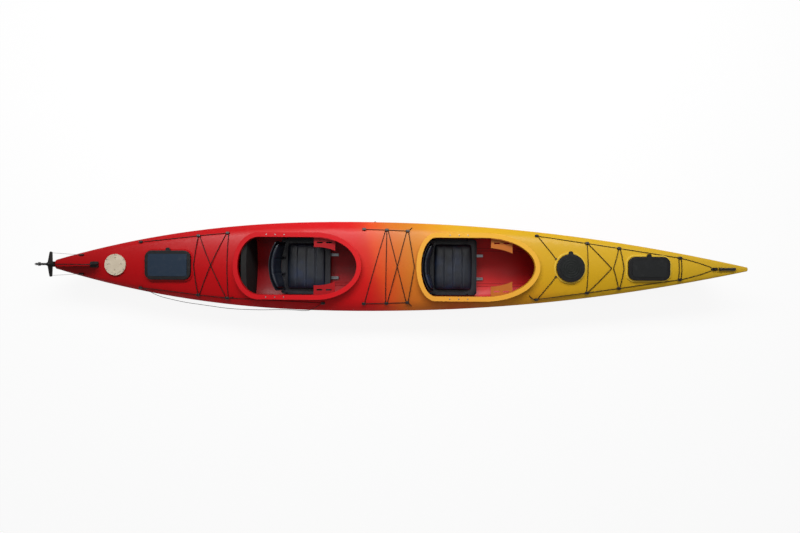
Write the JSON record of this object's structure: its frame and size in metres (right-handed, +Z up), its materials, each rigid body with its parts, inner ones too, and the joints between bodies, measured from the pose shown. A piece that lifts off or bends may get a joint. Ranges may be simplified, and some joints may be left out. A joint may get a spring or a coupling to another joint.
{
  "type": "sea kayak",
  "caption": "Long narrow closed-deck kayak for two paddlers, with oval cockpits, sealed hatches, seats, foot pedals, elastic deck cords and a flip-up rudder.",
  "frame": {"origin": "on the flat of the keel, half way along the hull, on the centre plane", "axes": "+X to the bow, +Y to port, +Z up"},
  "size_m": [5.406, 0.7124, 0.4198],
  "materials": {
    "hull_plastic": "rotomoulded polyethylene, satin, red to yellow",
    "foam": "closed cell foam",
    "hatch_rubber": "moulded rubber, dull",
    "seal_rubber": "soft rubber",
    "pale_plastic": "moulded plastic, satin",
    "seat_plastic": "moulded plastic, satin",
    "seat_fabric": "coated fabric over foam, slight sheen",
    "rail_aluminium": "anodised",
    "stainless_steel": "brushed",
    "black_plastic": "moulded nylon",
    "brace_plastic": "moulded plastic with black foam face",
    "blade_aluminium": "black anodised",
    "shock_cord": "braided elastic cord",
    "braided_line": "braided polyester line"
  },
  "bodies": {
    "hull": {"blade_rest": "black_plastic", "bulkhead_bow": "foam", "bulkhead_front": "foam", "bulkhead_mid": "foam", "bulkhead_rear": "foam", "bungee_front": "shock_cord", "bungee_mid": "shock_cord", "bungee_rear": "shock_cord", "cable_glands": "black_plastic", "cable_tubes": "black_plastic", "coaming_bolts": "stainless_steel", "deck_fittings_front": "black_plastic", "deck_fittings_mid": "black_plastic", "deck_fittings_rear": "black_plastic", "deck_lines": "braided_line", "deck_plate_ring": "pale_plastic", "foot_rails_front": "rail_aluminium", "foot_rails_rear": "rail_aluminium", "gunwale_eye": "black_plastic", "hatch_seals": "seal_rubber", "hull_shell": "hull_plastic", "lift_line_slack": "braided_line", "lift_line_tight": "braided_line", "rudder_bracket": "black_plastic", "rudder_pin": "stainless_steel", "seat_rails_front": "rail_aluminium", "seat_rails_rear": "rail_aluminium", "steering_cables": "stainless_steel", "thigh_brace_front_port": "brace_plastic", "thigh_brace_front_starboard": "brace_plastic", "thigh_brace_rear_port": "brace_plastic", "thigh_brace_rear_starboard": "brace_plastic", "toggle_eye": "black_plastic"},
    "hatch_rear": {"hatch_cover_rear": "hatch_rubber"},
    "hatch_front": {"hatch_cover_front": "hatch_rubber"},
    "hatch_day": {"hatch_cover_day": "hatch_rubber"},
    "deck_plate": {"deck_plate_lid": "pale_plastic"},
    "seat_rear": {"seat_pan_rear": "seat_plastic", "seat_pad_rear": "seat_fabric", "backrest_pins_rear": "stainless_steel"},
    "seat_front": {"seat_pan_front": "seat_plastic", "seat_pad_front": "seat_fabric", "backrest_pins_front": "stainless_steel"},
    "backrest_rear": {"backrest_shell_rear": "seat_plastic", "backrest_pad_rear": "seat_fabric"},
    "backrest_front": {"backrest_shell_front": "seat_plastic", "backrest_pad_front": "seat_fabric"},
    "pedal_rear_port": {"pedal_rear_port": "black_plastic"},
    "pedal_rear_starboard": {"pedal_rear_starboard": "black_plastic"},
    "pedal_front_port": {"pedal_front_port": "black_plastic"},
    "pedal_front_starboard": {"pedal_front_starboard": "black_plastic"},
    "rudder_head": {"rudder_yoke": "black_plastic", "blade_bolt": "stainless_steel"},
    "blade": {"rudder_blade": "blade_aluminium"},
    "toggle": {"bow_toggle": "black_plastic", "toggle_cord": "braided_line"}
  },
  "joints": [
    {"name": "hatch_rear_lift", "type": "slide", "parent": "hull", "child": "hatch_rear", "axis": [-0.0129, 0, 0.9999], "range_m": [0, 0.12]},
    {"name": "hatch_front_lift", "type": "slide", "parent": "hull", "child": "hatch_front", "axis": [-0.0509, 0, 0.9987], "range_m": [0, 0.12]},
    {"name": "hatch_day_lift", "type": "slide", "parent": "hull", "child": "hatch_day", "axis": [-0.0299, 0, 0.9996], "range_m": [0, 0.12]},
    {"name": "deck_plate_turn", "type": "hinge", "parent": "hull", "child": "deck_plate", "pos_m": [-2.169, 0, 0.31047], "axis": [-0.0214, 0, 0.9998], "range_deg": [0, 90]},
    {"name": "seat_rear_slide", "type": "slide", "parent": "hull", "child": "seat_rear", "axis": [1, 0, 0], "range_m": [-0.03, 0.06]},
    {"name": "backrest_rear_tilt", "type": "hinge", "parent": "seat_rear", "child": "backrest_rear", "pos_m": [-0.932, 0, 0.0863], "axis": [0, 1, 0], "range_deg": [-10, 10]},
    {"name": "seat_front_slide", "type": "slide", "parent": "hull", "child": "seat_front", "axis": [1, 0, 0], "range_m": [-0.03, 0.06]},
    {"name": "backrest_front_tilt", "type": "hinge", "parent": "seat_front", "child": "backrest_front", "pos_m": [0.265, 0, 0.0863], "axis": [0, 1, 0], "range_deg": [-10, 10]},
    {"name": "pedal_rear_port_slide", "type": "slide", "parent": "hull", "child": "pedal_rear_port", "axis": [0.9999, -0.0141, 0], "range_m": [-0.05, 0.05]},
    {"name": "pedal_rear_starboard_slide", "type": "slide", "parent": "hull", "child": "pedal_rear_starboard", "axis": [0.9999, 0.0141, 0], "range_m": [-0.05, 0.05]},
    {"name": "pedal_front_port_slide", "type": "slide", "parent": "hull", "child": "pedal_front_port", "axis": [0.9942, -0.1072, 0], "range_m": [-0.06, 0.045]},
    {"name": "pedal_front_starboard_slide", "type": "slide", "parent": "hull", "child": "pedal_front_starboard", "axis": [0.9942, 0.1072, 0], "range_m": [-0.06, 0.045]},
    {"name": "rudder_steer", "type": "hinge", "parent": "hull", "child": "rudder_head", "pos_m": [-2.69, 0, 0.256], "axis": [0, 0, 1], "range_deg": [-30, 30], "deforming": ["steering_cables"]},
    {"name": "blade_lift", "type": "hinge", "parent": "rudder_head", "child": "blade", "pos_m": [-2.726, 0, 0.352], "axis": [0, -1, 0], "range_deg": [0, 240]},
    {"name": "bow_toggle_swing", "type": "hinge", "parent": "hull", "child": "toggle", "pos_m": [2.39998, 0, 0.39901], "axis": [0, -1, 0], "range_deg": [0, 140]}
  ],
  "couplings": [
    {"joint": "pedal_rear_port_slide", "follows": "rudder_steer", "m_per_rad": -0.088},
    {"joint": "pedal_rear_starboard_slide", "follows": "rudder_steer", "m_per_rad": 0.088}
  ]
}
